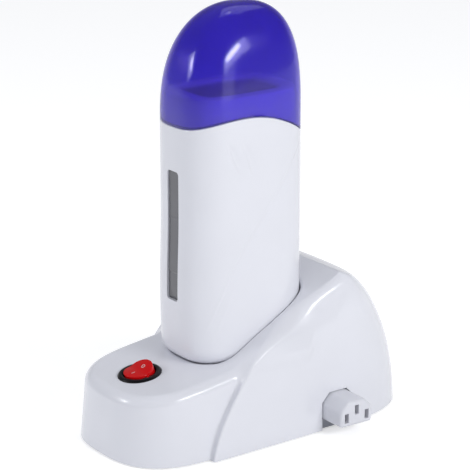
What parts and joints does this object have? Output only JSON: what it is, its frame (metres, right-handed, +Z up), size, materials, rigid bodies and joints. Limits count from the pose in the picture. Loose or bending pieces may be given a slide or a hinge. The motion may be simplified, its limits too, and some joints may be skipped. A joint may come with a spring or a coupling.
{
  "type": "roll-on wax heater",
  "caption": "Docking base with a red rocker switch, a side outlet and a lift-out heated handset for roll-on wax under a clear blue lift-off cap.",
  "frame": {"origin": "on the table, under the middle of the bounding box", "axes": "+Z up, -Y to the nose with the switch, +X to the free outlet"},
  "size_m": [0.1101, 0.192, 0.242],
  "materials": {
    "white_abs": "gloss",
    "grey_abs": "satin",
    "rubber": "matte",
    "steel": "satin",
    "black_pa": "semi-gloss",
    "red_pc": "gloss",
    "brass": "satin",
    "lens": "gloss",
    "blue_pc": "gloss",
    "aluminium": "satin",
    "ceramic": "matte",
    "brown_pvc": "satin",
    "blue_pvc": "satin",
    "green_pvc": "satin"
  },
  "bodies": {
    "base": {"base_shell": "white_abs", "base_bottom_plate": "grey_abs", "base_feet": "rubber", "base_screws": "steel", "switch_housing": "black_pa", "switch_contact": "brass", "switch_terminals": "brass", "side_outlet": "white_abs", "side_outlet_contacts": "brass", "side_inlet": "white_abs", "side_inlet_pins": "steel", "dock_socket": "white_abs", "dock_socket_contacts": "brass", "dock_screws": "steel", "wire_live": "brown_pvc", "wire_neutral": "blue_pvc", "wire_earth": "green_pvc"},
    "rocker": {"switch_rocker": "red_pc"},
    "handset": {"handset_body": "white_abs", "handset_collar": "white_abs", "handset_cover": "white_abs", "handset_screws": "steel", "handset_inlet": "white_abs", "handset_inlet_pins": "steel", "window_lens": "lens", "heater_chamber": "aluminium", "heater_elements": "ceramic", "heater_clamp": "steel", "thermostat": "steel", "thermal_fuse": "steel", "lead_live": "brown_pvc", "lead_neutral": "blue_pvc"},
    "cap": {"cap": "blue_pc"}
  },
  "joints": [
    {"name": "rocker_tilt", "type": "hinge", "parent": "base", "child": "rocker", "pos_m": [-0.00675, -0.06913, 0.0413], "axis": [1, 0, 0], "range_deg": [-24, 0]},
    {"name": "handset_lift", "type": "slide", "parent": "base", "child": "handset", "axis": [0, 0, 1], "range_m": [0, 0.08]},
    {"name": "cap_lift", "type": "slide", "parent": "handset", "child": "cap", "axis": [0, 0, 1], "range_m": [0, 0.06]}
  ]
}
